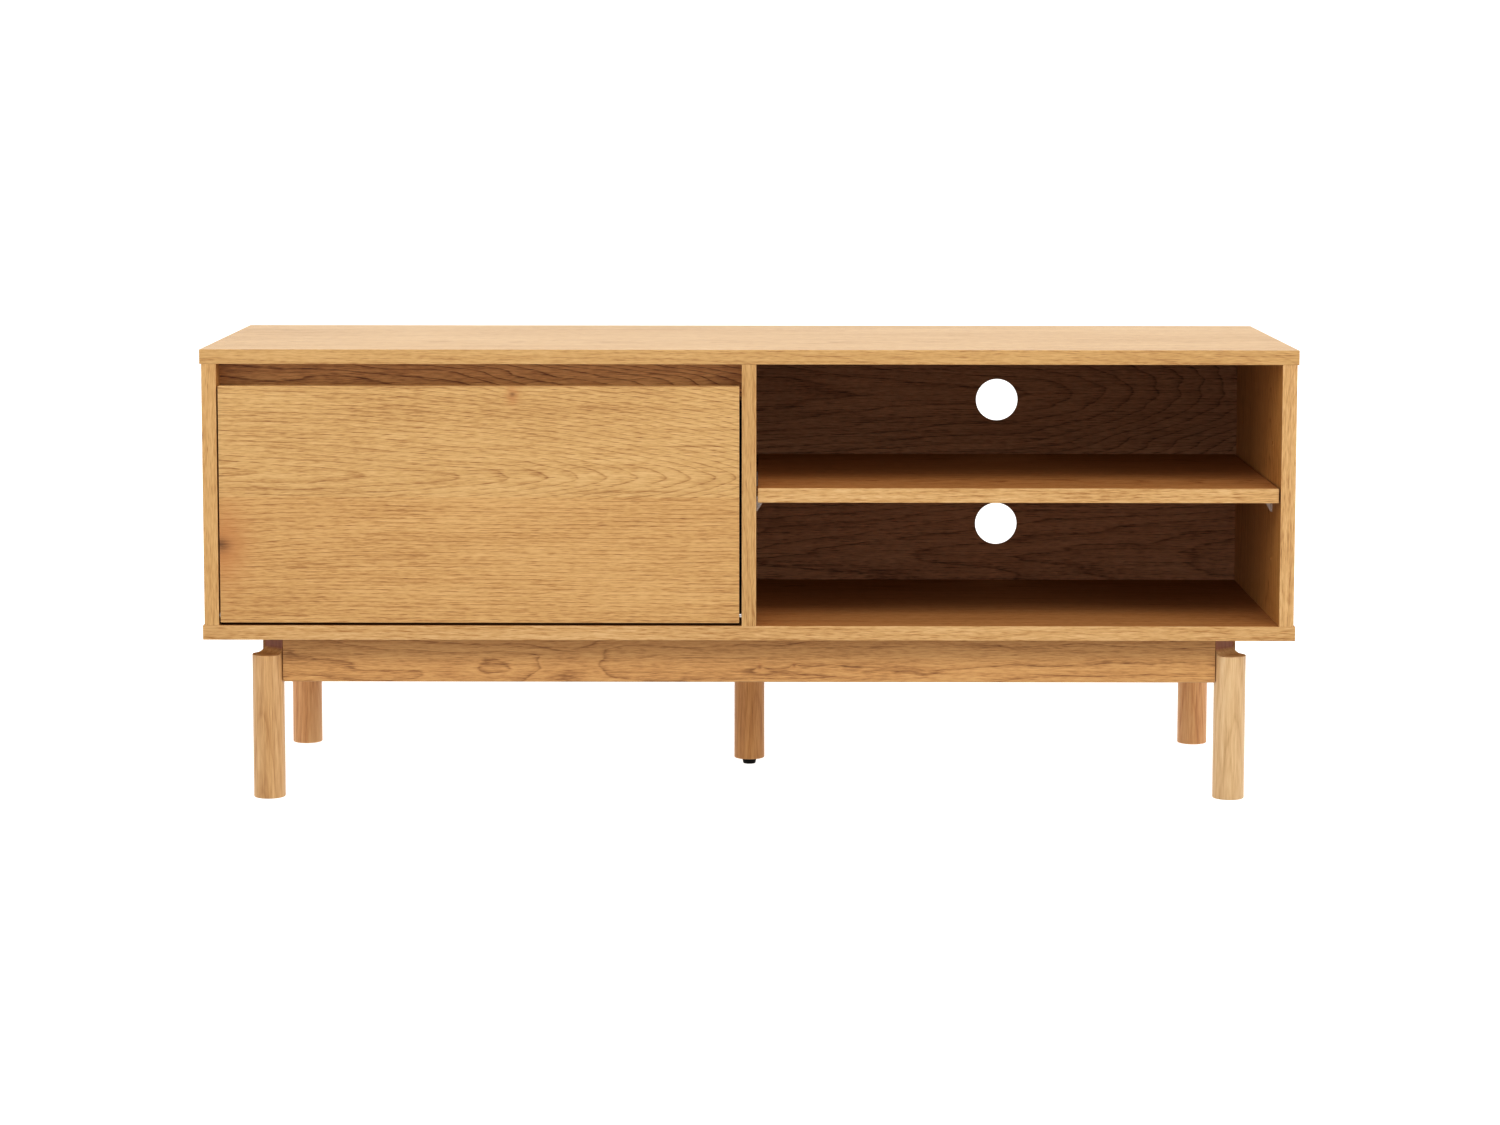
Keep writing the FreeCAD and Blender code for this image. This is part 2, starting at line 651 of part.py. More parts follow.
def frame_screws():
    screws = []
    for x, y in frame_screw_places():
        head = rod((x, y, frame_screw_seat), Z_AXIS * -1, small_head_radius, small_head_height)
        shank = rod((x, y, frame_screw_seat), Z_AXIS, small_screw_radius, frame_screw_length)
        screws.append(head.fuse(shank).removeSplitter())
    return screws


def long_rail(side_y):
    rail = frame_rail(2 * (leg_x - rail_end), True)
    rail.translate(FreeCAD.Vector(0, side_y * leg_y, 0))
    return rail.cut(frame_screw_bores + frame_screw_recesses + bracket_screw_bores)


def side_rail(side_x):
    rail = frame_rail(2 * (leg_y - rail_end), False)
    rail.translate(FreeCAD.Vector(side_x * leg_x, 0, 0))
    return rail.cut(frame_screw_bores + frame_screw_recesses + bracket_screw_bores)


# ---- corner brackets --------------------------------------------------------------------
bracket_top = carcass_bottom - bracket_drop
bracket_low = bracket_top - bracket_height
bracket_middle = (bracket_top + bracket_low) / 2
bracket_distance = leg_radius + bracket_stand_off
rail_face = frame_rail_thickness / 2


def corner_point(side_x, side_y, inward_x, inward_y, z):
    """Point measured from a leg's axis towards the middle of the stand."""
    return FreeCAD.Vector(side_x * (leg_x - inward_x), side_y * (leg_y - inward_y), z)


def corner_bracket(side_x, side_y):
    """Pressed plate across the inner corner, with a flange along each rail."""
    near = rail_face
    far = rail_face + bracket_thickness
    near_bend = bracket_distance * math.sqrt(2) - near
    far_bend = (bracket_distance + bracket_thickness) * math.sqrt(2) - far
    tip = near_bend + bracket_flange
    half_outline = [(tip, near), (near_bend, near)]
    half_inner = [(far_bend, far), (tip, far)]
    outline = half_outline + [(v, u) for u, v in reversed(half_outline)]
    outline += [(v, u) for u, v in reversed(half_inner)] + half_inner
    points = [corner_point(side_x, side_y, u, v, bracket_low) for u, v in outline]
    plate = Part.Face(Part.makePolygon(points + points[:1])).extrude(Z_AXIS * bracket_height)
    bolt_hole = bore(hanger_start(side_x, side_y), hanger_axis(side_x, side_y), hanger_bolt_radius,
                     hanger_bolt_bite + bracket_stand_off + bracket_thickness)
    return plate.cut([bolt_hole] + bracket_screw_bores)


def bracket_screw_places():
    """Seat and axis of the two screws in each flange of each bracket."""
    seat = rail_face + bracket_thickness
    middle = bracket_distance * math.sqrt(2) - rail_face + bracket_flange * 0.6
    rise = bracket_height / 2 - 8
    places = []
    for _, side_x, side_y in corner_legs():
        for z in (bracket_middle - rise, bracket_middle + rise):
            places.append((corner_point(side_x, side_y, middle, seat, z), Y_AXIS * side_y))
            places.append((corner_point(side_x, side_y, seat, middle, z), X_AXIS * side_x))
    return places


bracket_screw_bores = [small_screw_bore(seat, axis) for seat, axis in bracket_screw_places()]


def hanger_bolt(side_x, side_y):
    length = hanger_bolt_bite + bracket_stand_off + bracket_thickness + nut_height + hanger_bolt_tail
    return Part.makeCylinder(hanger_bolt_radius, length, hanger_start(side_x, side_y), hanger_axis(side_x, side_y))


def hanger_nut(side_x, side_y):
    """Hexagon nut against the bracket."""
    axis = hanger_axis(side_x, side_y)
    offset = hanger_bolt_bite + bracket_stand_off + bracket_thickness
    centre = hanger_start(side_x, side_y) + axis * offset
    corner_radius = nut_flats / math.sqrt(3)
    sideways = axis.cross(Z_AXIS)
    ring = [centre + Z_AXIS * corner_radius * math.cos(math.radians(60 * i))
            + sideways * corner_radius * math.sin(math.radians(60 * i)) for i in range(6)]
    nut = Part.Face(Part.makePolygon(ring + ring[:1])).extrude(axis * nut_height)
    hole = Part.makeCylinder(hanger_bolt_radius + fit_gap, nut_height + 2, centre - axis, axis)
    return nut.cut(hole)


# ---- centre leg, its plate and its leveller ---------------------------------------------
centre_leg_y = centre_leg_offset
plate_bolt_length = hanger_bolt_bite + plate_dish_depth - 1
plate_screw_seats = [(x_side * (plate_size / 2 - plate_screw_inset),
                      centre_leg_y + y_side * (plate_size / 2 - plate_screw_inset),
                      carcass_bottom - plate_thickness) for x_side in (-1, 1) for y_side in (-1, 1)]
plate_screw_bores = [small_screw_bore(seat, Z_AXIS) for seat in plate_screw_seats]


def centre_leg():
    """Plain turned leg under the middle, held by a plate and stood on a leveller."""
    leg = rod((0, centre_leg_y, centre_leg_bottom), Z_AXIS, leg_radius, centre_leg_top - centre_leg_bottom)
    leg = eased(leg, leg_foot_ease, lambda edge: lies_at(edge, z=centre_leg_bottom))
    bolt_hole = bore((0, centre_leg_y, centre_leg_top - hanger_bolt_bite), Z_AXIS, hanger_bolt_radius,
                     hanger_bolt_bite)
    insert_hole = rod((0, centre_leg_y, centre_leg_bottom - 1), Z_AXIS, insert_radius + fit_gap, insert_length + 1)
    stud_hole = rod((0, centre_leg_y, centre_leg_bottom), Z_AXIS, leveller_stud_radius + 0.5,
                    insert_length + leveller_travel + 1)
    return leg.cut([bolt_hole, insert_hole, stud_hole])


def centre_leg_plate():
    """Dished steel plate: four corner screws up into the panel, the leg bolt in the dish."""
    top = carcass_bottom
    flange = block((-plate_size / 2, plate_size / 2),
                   (centre_leg_y - plate_size / 2, centre_leg_y + plate_size / 2), (top - plate_thickness, top))
    flange = eased(flange, 5.0, lambda edge: edge.BoundBox.ZLength > plate_thickness - 0.1
                   and edge.BoundBox.DiagonalLength < plate_thickness + 0.1)
    rim_radius = plate_dish_radius + plate_thickness
    dish = rod((0, centre_leg_y, top - plate_dish_depth), Z_AXIS, rim_radius, plate_dish_depth)
    hollow = rod((0, centre_leg_y, top - plate_dish_depth + plate_thickness), Z_AXIS, plate_dish_radius,
                 plate_dish_depth)
    bolt_hole = rod((0, centre_leg_y, top - plate_dish_depth - 1), Z_AXIS, hanger_bolt_radius + fit_gap,
                    plate_thickness + 2)
    return flange.fuse(dish).removeSplitter().cut([hollow, bolt_hole] + plate_screw_bores)


def centre_leg_bolt():
    return rod((0, centre_leg_y, centre_leg_top - hanger_bolt_bite), Z_AXIS, hanger_bolt_radius, plate_bolt_length)


def leveller_insert():
    """Threaded insert in the bottom of the centre leg; the thread is drawn as a plain bore."""
    outer = rod((0, centre_leg_y, centre_leg_bottom), Z_AXIS, insert_radius, insert_length)
    inner = rod((0, centre_leg_y, centre_leg_bottom - 1), Z_AXIS, leveller_stud_radius + running_gap,
                insert_length + 2)
    return outer.cut(inner)


def leveller_foot():
    """Tapered pad with a snap socket for the head of the stud."""
    pad = Part.makeCone(leveller_bottom_radius, leveller_top_radius, leveller_foot_height,
                        FreeCAD.Vector(0, centre_leg_y, 0), Z_AXIS)
    pad = eased(pad, leveller_foot_ease, lambda edge: lies_at(edge, z=0) or lies_at(edge, z=leveller_foot_height))
    socket = rod((0, centre_leg_y, leveller_floor - socket_play), Z_AXIS, leveller_head_radius + socket_play,
                 leveller_head_height + 2 * socket_play)
    neck = rod((0, centre_leg_y, leveller_floor), Z_AXIS, leveller_stud_radius + socket_play, leveller_foot_height)
    return pad.cut([socket, neck])


def leveller_stud():
    """Threaded stud with a flat head, its thread drawn as a plain rod."""
    head = rod((0, centre_leg_y, leveller_floor), Z_AXIS, leveller_head_radius, leveller_head_height)
    top = centre_leg_bottom + insert_length + leveller_travel
    shank = rod((0, centre_leg_y, leveller_floor), Z_AXIS, leveller_stud_radius, top - leveller_floor)
    return head.fuse(shank).removeSplitter()


# ---- write one STEP file for each piece or group of like fasteners ----------------------
def save(name, solids):
    """Check the solids and write them as parts/NAME.step."""
    solids = solids if isinstance(solids, list) else [solids]
    pieces = [solid for shape in solids for solid in shape.Solids]
    if len(pieces) != len(solids) or not all(piece.isValid() for piece in pieces):
        raise ValueError(f"{name}: {len(pieces)} solids from {len(solids)} pieces, or one is invalid")
    shape = pieces[0] if len(pieces) == 1 else Part.makeCompound(pieces)
    shape.exportStep(f"parts/{name}.step")
    print(f"{name:20s} {len(pieces):3d} solids {sum(piece.Volume for piece in pieces) / 1000:10.2f} cm3")


os.makedirs("parts", exist_ok=True)

save("top_panel", top_panel())
save("bottom_panel", bottom_panel())
save("left_side_panel", left_side_panel())
save("right_side_panel", right_side_panel())
save("divider_panel", divider_panel())
save("left_back_panel", back_panel(*bay_spans[0], []))
save("right_back_panel", back_panel(*bay_spans[1], cable_holes()))
save("finger_rail", finger_rail())
save("carcass_dowels", [rod(start, axis, dowel_radius, dowel_length) for start, axis in dowel_places()])
save("carcass_screws", [carcass_screw(x, y) for x, y in screw_places])

save("shelf", shelf())
save("shelf_supports", shelf_supports())

save("door_panel", door_panel())
save("door_bushes", door_bushes())
save("left_pivot_pin", pivot_pin(-side_inner, X_AXIS, door_gap_side))
save("right_pivot_pin", pivot_pin(divider_left, X_AXIS * -1, door_gap_divider))

save("stay_guide", stay_guide())
save("stay_guide_screws", [small_screw(seat, X_AXIS * -1) for seat in guide_screw_seats])
save("stay_bracket", stay_bracket())
save("stay_bracket_screws", [small_screw(seat, Y_AXIS * -1) for seat in stay_flange_seats])
save("stay_rivet", stay_rivet())
save("stay_arm", stay_arm())

save("catch_case", catch_case())
save("catch_magnet", magnet_block(0))
save("catch_screws", [small_screw(seat, Z_AXIS) for seat in catch_screw_seats])
save("strike_plate", strike_plate())
save("strike_screw", strike_screw())

for leg_name, leg_side_x, leg_side_y in corner_legs():
    save(leg_name, corner_leg(leg_side_x, leg_side_y))
save("front_rail", long_rail(-1))
save("rear_rail", long_rail(1))
save("left_rail", side_rail(-1))
save("right_rail", side_rail(1))
save("frame_screws", frame_screws())
save("corner_brackets", [corner_bracket(side_x, side_y) for _, side_x, side_y in corner_legs()])
save("bracket_screws", [small_screw(seat, axis) for seat, axis in bracket_screw_places()])
save("hanger_bolts", [hanger_bolt(side_x, side_y) for _, side_x, side_y in corner_legs()])
save("hanger_nuts", [hanger_nut(side_x, side_y) for _, side_x, side_y in corner_legs()])

save("centre_leg", centre_leg())
save("centre_leg_plate", centre_leg_plate())
save("centre_leg_bolt", centre_leg_bolt())
save("plate_screws", [small_screw(seat, Z_AXIS) for seat in plate_screw_seats])
save("leveller_insert", leveller_insert())
save("leveller_foot", leveller_foot())
save("leveller_stud", leveller_stud())
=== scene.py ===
import json
import math

import bmesh
import bpy
from mathutils import Matrix, Vector


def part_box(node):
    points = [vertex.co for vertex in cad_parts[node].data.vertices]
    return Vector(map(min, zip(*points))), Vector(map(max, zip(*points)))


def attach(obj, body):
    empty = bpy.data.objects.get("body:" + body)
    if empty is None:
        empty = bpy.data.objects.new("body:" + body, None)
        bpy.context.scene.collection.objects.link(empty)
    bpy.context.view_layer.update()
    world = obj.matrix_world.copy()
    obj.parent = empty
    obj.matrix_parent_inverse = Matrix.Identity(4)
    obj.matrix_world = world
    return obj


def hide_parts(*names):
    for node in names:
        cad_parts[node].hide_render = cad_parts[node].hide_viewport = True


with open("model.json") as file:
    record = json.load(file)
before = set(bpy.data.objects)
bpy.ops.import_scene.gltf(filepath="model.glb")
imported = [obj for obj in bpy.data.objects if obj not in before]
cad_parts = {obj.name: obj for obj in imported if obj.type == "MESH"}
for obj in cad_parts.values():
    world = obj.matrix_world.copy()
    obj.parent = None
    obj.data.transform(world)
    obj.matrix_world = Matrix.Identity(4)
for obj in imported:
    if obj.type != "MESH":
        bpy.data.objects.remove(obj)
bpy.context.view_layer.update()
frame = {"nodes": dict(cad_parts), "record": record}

# ---- Top and bottom panels ---------------------------------------------------------------
# Sixteen-millimetre particle board, faced with a printed oak film and edged with strips of the
# same film, so the grain runs the length of the board on its faces and along its front edge.
# Dowels hold the top panel; dowels and screws driven from below hold the bottom one.

nodes = frame["nodes"]
strip_depth = 0.0012    # how far behind the front edge its edging strip still counts
shaded_face_depth = 0.0006     # how far off the shaded face its painted shade still counts
ring_wobble = 0.35      # quick unevenness of a growth ring, in rings


def add_node(tree, kind, sockets=None, **settings):
    """One node with its settings; sockets maps an input to a value or to another socket."""
    node = tree.nodes.new(kind)
    for name, value in settings.items():
        setattr(node, name, value)
    for key, value in (sockets or {}).items():
        if isinstance(value, bpy.types.NodeSocket):
            tree.links.new(value, node.inputs[key])
        else:
            node.inputs[key].default_value = value
    return node


def calc(tree, operation, *values):
    """Result of one math node."""
    return add_node(tree, "ShaderNodeMath", dict(enumerate(values)), operation=operation).outputs[0]


def remap(tree, value, low, high, to_low=0.0, to_high=1.0):
    """Value stretched from low..high to to_low..to_high and clamped."""
    sockets = {"Value": value, "From Min": low, "From Max": high, "To Min": to_low, "To Max": to_high}
    return add_node(tree, "ShaderNodeMapRange", sockets).outputs[0]


def ramp(tree, value, stops):
    """Colour ramp through (position, colour) stops."""
    node = add_node(tree, "ShaderNodeValToRGB", {"Fac": value})
    elements = node.color_ramp.elements
    while len(elements) < len(stops):
        elements.new(0.5)
    for element, (position, colour) in zip(elements, stops):
        element.position = position
        element.color = (*colour, 1.0)
    return node.outputs["Color"]


def blend(tree, amount, under, over, mode="MIX"):
    """Two colours mixed by an amount."""
    node = add_node(tree, "ShaderNodeMix", data_type="RGBA", blend_type=mode)
    for socket, value in zip((node.inputs[0], node.inputs[6], node.inputs[7]), (amount, under, over)):
        if isinstance(value, bpy.types.NodeSocket):
            tree.links.new(value, socket)
        else:
            socket.default_value = value if isinstance(value, float) else (*value, 1.0)
    return node.outputs[2]


def new_surface(name, roughness=0.5):
    """Material with its Principled shader; returns material, tree, shader."""
    material = bpy.data.materials.new(name)
    material.use_nodes = True
    tree = material.node_tree
    shader = tree.nodes["Principled BSDF"]
    shader.inputs["Roughness"].default_value = roughness
    return material, tree, shader


def add_bump(tree, shader, height, strength, distance):
    """Fine relief on a surface."""
    bump = add_node(tree, "ShaderNodeBump", {"Height": height, "Strength": strength, "Distance": distance})
    tree.links.new(bump.outputs[0], shader.inputs["Normal"])


def grain_space(tree, along):
    """Object coordinates with the grain put first: the vector, its run and its two cross parts."""
    place = add_node(tree, "ShaderNodeTexCoord").outputs["Object"]
    parts = add_node(tree, "ShaderNodeSeparateXYZ", {0: place}).outputs
    order = {"X": (0, 1, 2), "Y": (1, 2, 0), "Z": (2, 0, 1)}[along]
    axes = [parts[i] for i in order]
    vector = add_node(tree, "ShaderNodeCombineXYZ", dict(enumerate(axes))).outputs[0]
    return vector, axes[0], axes[1], axes[2]


def grain_noise(tree, vector, along, across, seed, detail=2.0, roughness=0.55):
    """Noise with so many waves per metre along and across the grain."""
    stretched = add_node(tree, "ShaderNodeVectorMath", {0: vector, 1: (along, across, across)},
                         operation="MULTIPLY").outputs[0]
    start = (seed * 7.31, seed * 3.17, seed * 5.77)
    moved = add_node(tree, "ShaderNodeVectorMath", {0: stretched, 1: start}, operation="ADD").outputs[0]
    sockets = {"Vector": moved, "Scale": 1.0, "Detail": detail, "Roughness": roughness}
    return add_node(tree, "ShaderNodeTexNoise", sockets).outputs[0]


def sway(tree, vector, along, across, seed, detail=2.0, roughness=0.55):
    """Grain noise about nought."""
    return calc(tree, "SUBTRACT", grain_noise(tree, vector, along, across, seed, detail, roughness), 0.5)


def add_layers(tree, value, *layers):
    """Value with every (layer, weight) added in turn."""
    for layer, weight in layers:
        value = calc(tree, "MULTIPLY_ADD", layer, weight, value)
    return value


def plank_rings(tree, vector, along, across, seed, planks, wander, wave):
    """Growth-ring count over a face glued up from planks.

    A plank is (lower edge, heart line, heart depth, ring width, taper, swell start, swell): near its
    heart line the face runs along the rings and shows pointed arches, one for every 1/taper metres
    and closer past the swell start; further out they close up to straight lines.
    """
    drift = sway(tree, vector, 1.3, 3.0, seed + 0.3, 1.0)
    across = calc(tree, "MULTIPLY_ADD", drift, wander, across)
    slow = sway(tree, vector, 3.0, 22.0, seed + 1.1)
    quick = sway(tree, vector, 28.0, 150.0, seed + 2.7)
    rings = None
    for edge, heart, depth, width, taper, start, swell in planks:
        offset = calc(tree, "SUBTRACT", across, heart)
        squared = calc(tree, "MULTIPLY_ADD", offset, offset, depth * depth)
        count = calc(tree, "DIVIDE", calc(tree, "SQRT", squared), width)
        count = calc(tree, "MULTIPLY_ADD", along, taper, count)
        past = calc(tree, "MAXIMUM", calc(tree, "SUBTRACT", along, start), 0.0)
        speeding = calc(tree, "MULTIPLY", past, past)
        count = add_layers(tree, count, (speeding, swell), (slow, wave), (quick, ring_wobble))
        if rings is None:
            rings = count
            continue
        inside = calc(tree, "GREATER_THAN", across, edge)
        outside = calc(tree, "SUBTRACT", 1.0, inside)
        kept = calc(tree, "MULTIPLY", rings, outside)
        rings = calc(tree, "ADD", calc(tree, "MULTIPLY", count, inside), kept)
    return rings


def knot_spread(tree, along, across, knot_along, knot_across, size, stretch):
    """One at the heart of a knot, fading to nothing about two sizes out."""
    dx = calc(tree, "MULTIPLY", calc(tree, "SUBTRACT", along, knot_along), 1.0 / (size * stretch))
    dy = calc(tree, "MULTIPLY", calc(tree, "SUBTRACT", across, knot_across), 1.0 / size)
    far = calc(tree, "ADD", calc(tree, "MULTIPLY", dx, dx), calc(tree, "MULTIPLY", dy, dy))
    return calc(tree, "EXPONENT", calc(tree, "MULTIPLY", far, -1.0))


def wood(name, along, seed, tones, planks, knots=(), wander=0.03, wave=3.4, line=0.42, streak=0.24,
         pore=0.30, slant=0.0, sheen=0.45, strip=None, strip_tint=(1.0, 1.0, 1.0), film=(1.0, 1.0, 1.0),
         shaded_face=None):
    """Wood surface. tones run from the darkest pore to the palest fibre.

    A knot is (place along, across, core size, size of the flushed wood, how flushed). strip is the
    Y of a front edge covered with a straight-grained strip of strip_tint; film is painted shade on the
    rest of the board, or only on the face given last: its Z on a lying board, its X on an upright.
    """
    material, tree, shader = new_surface(name)
    vector, run, cross_a, cross_b = grain_space(tree, along)
    across = calc(tree, "ADD", cross_a, cross_b)
    across = calc(tree, "MULTIPLY_ADD", run, slant, across)
    rings = plank_rings(tree, vector, run, across, seed, planks, wander, wave)
    for knot_along, knot_across, core, flush, redness in knots:
        rings_round_knot = min(2.2, flush * 80)
        swirl = knot_spread(tree, run, across, knot_along, knot_across, flush * 1.3, 1.6)
        rings = calc(tree, "MULTIPLY_ADD", swirl, rings_round_knot, rings)

    # A ring is pale early wood that darkens to a thin line of late wood at its end.
    late = ramp(tree, calc(tree, "FRACT", rings),
                [(0.0, (0.0,) * 3), (0.60, (0.10,) * 3), (0.80, (0.40,) * 3), (0.90, (1.0,) * 3),
                 (0.97, (0.10,) * 3)])

    # Each layer's two figures are its waves per metre along and across the grain.
    grit = remap(tree, grain_noise(tree, vector, 70.0, 1100.0, seed + 6.6, 1.0), 0.36, 0.60)
    thread = remap(tree, grain_noise(tree, vector, 8.0, 640.0, seed + 3.9), 0.50, 0.70)
    fibre = sway(tree, vector, 7.0, 190.0, seed + 4.1, 3.0, 0.65)
    fine = sway(tree, vector, 90.0, 1000.0, seed + 4.4)
    tone = sway(tree, vector, 1.8, 8.0, seed + 5.2)
    dash = remap(tree, grain_noise(tree, vector, 55.0, 1400.0, seed + 7.7, 1.0), 0.58, 0.72)
    broken = calc(tree, "MULTIPLY_ADD", grit, 0.55, 0.45)
    if strip is not None:
        depth_place = cross_b if along == "Z" else cross_a
        on_strip = calc(tree, "LESS_THAN", depth_place, strip + strip_depth)
        late = calc(tree, "MULTIPLY", late, calc(tree, "MULTIPLY_ADD", on_strip, -0.55, 1.0))
    late_lines = calc(tree, "MULTIPLY", late, broken)
    threads = calc(tree, "MULTIPLY", thread, broken)
    value = add_layers(tree, 0.73, (late_lines, -line), (threads, -streak), (fibre, 0.50), (fine, 0.85),
                       (tone, 0.36), (dash, -pore))
    colour = ramp(tree, value, [(0.0, tones[0]), (0.30, tones[1]), (0.62, tones[2]), (0.90, tones[3])])
    # Painted shade: off the edging strip the film colour darkens the board, or only its one given face.
    if strip is not None:
        painted_shade_mask = calc(tree, "SUBTRACT", 1.0, on_strip)
        if shaded_face is not None:
            place = cross_b if along == "X" else cross_a
            off = calc(tree, "ABSOLUTE", calc(tree, "SUBTRACT", place, shaded_face))
            painted_shade_mask = calc(tree, "MULTIPLY", painted_shade_mask, calc(tree, "LESS_THAN", off, shaded_face_depth))
        colour = blend(tree, painted_shade_mask, colour, film, "MULTIPLY")
        colour = blend(tree, on_strip, colour, strip_tint, "MULTIPLY")

    # A knot: reddened wood round it, and a dark, gritty heart.
    red, green, blue = tones[2]
    reddened = (red * 0.88, green * 0.66, blue * 0.58)
    heart_tone = tuple(channel * 0.6 for channel in tones[0])
    for knot_along, knot_across, core, flush, redness in knots:
        warm = knot_spread(tree, run, across, knot_along, knot_across, flush, 0.65)
        colour = blend(tree, calc(tree, "MULTIPLY", warm, redness), colour, reddened)
        heart = knot_spread(tree, run, across, knot_along, knot_across, core, 1.4)
        heart = calc(tree, "MULTIPLY", heart, calc(tree, "MULTIPLY_ADD", grit, redness * 0.5, redness * 0.6))
        colour = blend(tree, heart, colour, heart_tone)

    tree.links.new(colour, shader.inputs["Base Color"])
    tree.links.new(remap(tree, value, 0.1, 0.9, 0.50, 0.38), shader.inputs["Roughness"])
    add_bump(tree, shader, value, 0.16, 0.0004)
    shader.inputs["Specular IOR Level"].default_value = sheen
    return material


def dress(node_name, material):
    """Give a carried-over part its material."""
    data = nodes[node_name].data
    data.materials.clear()
    data.materials.append(material)


board_tones = [(0.235, 0.102, 0.034), (0.415, 0.216, 0.076),
               (0.595, 0.370, 0.152), (0.700, 0.472, 0.222)]
carcass_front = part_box("top_panel")[0].y
# Painted shade for the inside of the bays: it darkens the bottom panel's upper face and the shelf.
bay_painted_shade = (0.75, 0.60, 0.52)
dress("top_panel", wood("oak film, top", "X", 1.0, board_tones,
                        [(-9.0, 0.26, 0.05, 0.0060, 6.0, 0.1, 20.0),
                         (0.36, 0.42, 0.03, 0.0055, -9.0, 0.0, 0.0),
                         (0.50, 0.72, 0.04, 0.0060, 7.0, 0.0, 0.0)],
                        strip=carcass_front, strip_tint=(0.94, 0.91, 0.87), sheen=0.55))
# The bottom panel's upper face, inside the bays, is darkened with painted shade.
dress("bottom_panel", wood("oak film, bottom", "X", 2.0, board_tones,
                           [(-9.0, -0.09, 0.05, 0.0060, 8.0, 0.2, 15.0),
                            (0.07, 0.31, 0.04, 0.0055, -7.0, 0.0, 0.0)],
                           strip=carcass_front, strip_tint=(1.03, 1.03, 1.14),
                           film=bay_painted_shade, shaded_face=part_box("bottom_panel")[1].z, sheen=0.0))

# ---- Side panels and divider -------------------------------------------------------------
# Uprights of the same faced board, cut with the grain standing up and doweled between top and
# bottom. Painted shade darkens and warms their faces inside the carcass and the divider's faces.

# Painted shade, darker and warmer, for the faces inside the carcass.
wall_painted_shade = (0.96, 0.80, 0.58)
dress("left_side_panel", wood("oak film, left side", "Z", 3.0, board_tones,
                              [(-9.0, -0.71, 0.05, 0.0055, 12.0, 0.3, 60.0),
                               (-0.60, -0.30, 0.05, 0.0060, -9.0, 0.0, 0.0)],
                              strip=carcass_front, strip_tint=(0.97, 0.93, 0.90),
                              film=wall_painted_shade, shaded_face=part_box("left_side_panel")[1].x))
dress("right_side_panel", wood("oak film, right side", "Z", 4.0, board_tones,
                               [(-9.0, 0.47, 0.05, 0.0055, 12.0, 0.3, 60.0),
                                (0.58, 0.70, 0.04, 0.0060, 8.0, 0.0, 0.0)],
                               strip=carcass_front, strip_tint=(1.08, 1.09, 1.20),
                               film=wall_painted_shade, shaded_face=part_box("right_side_panel")[0].x, sheen=0.3))
dress("divider_panel", wood("oak film, divider", "Z", 5.0, board_tones,
                            [(-9.0, -0.25, 0.05, 0.0055, 12.0, 0.3, 40.0),
                             (-0.05, 0.10, 0.04, 0.0060, 8.0, 0.0, 0.0)],
                            strip=carcass_front, strip_tint=(0.94, 0.91, 0.89), film=wall_painted_shade))

# ---- Dowels ------------------------------------------------------------------------------
# Plain beech pins, eight millimetres thick, glued into the edges of the uprights and of the
# finger rail and into the faces they meet; out of sight once the carcass is pressed together.

beech_tones = [(0.42, 0.27, 0.14), (0.56, 0.38, 0.21), (0.66, 0.47, 0.28), (0.74, 0.56, 0.36)]
dress("carcass_dowels", wood("beech", "Z", 20.0, beech_tones, [(-9.0, 0.0, 0.02, 0.004, 3.0, 0.0, 0.0)]))

# ---- Back panels -------------------------------------------------------------------------
# Three-millimetre hardboard slid into grooves, oak film inside, bare brown board behind; the
# right one has two saw-cut cable holes whose rims show the brown core.

back_tones = [(0.130, 0.060, 0.036), (0.310, 0.155, 0.080), (0.530, 0.310, 0.172), (0.680, 0.430, 0.260)]
back_film_thickness = 0.0004
cable_hole_radius = 0.025
rim_depth = 0.0003
cable_holes = [(mount["pos_m"][0], mount["pos_m"][2])
               for mount in frame["record"]["mounts"] if mount["kind"] == "bore"]


def even_noise(tree, place, scale, detail=2.0):
    """Noise alike in all directions, with so many waves per metre."""
    sockets = {"Vector": place, "Scale": scale, "Detail": detail}
    return add_node(tree, "ShaderNodeTexNoise", sockets).outputs[0]


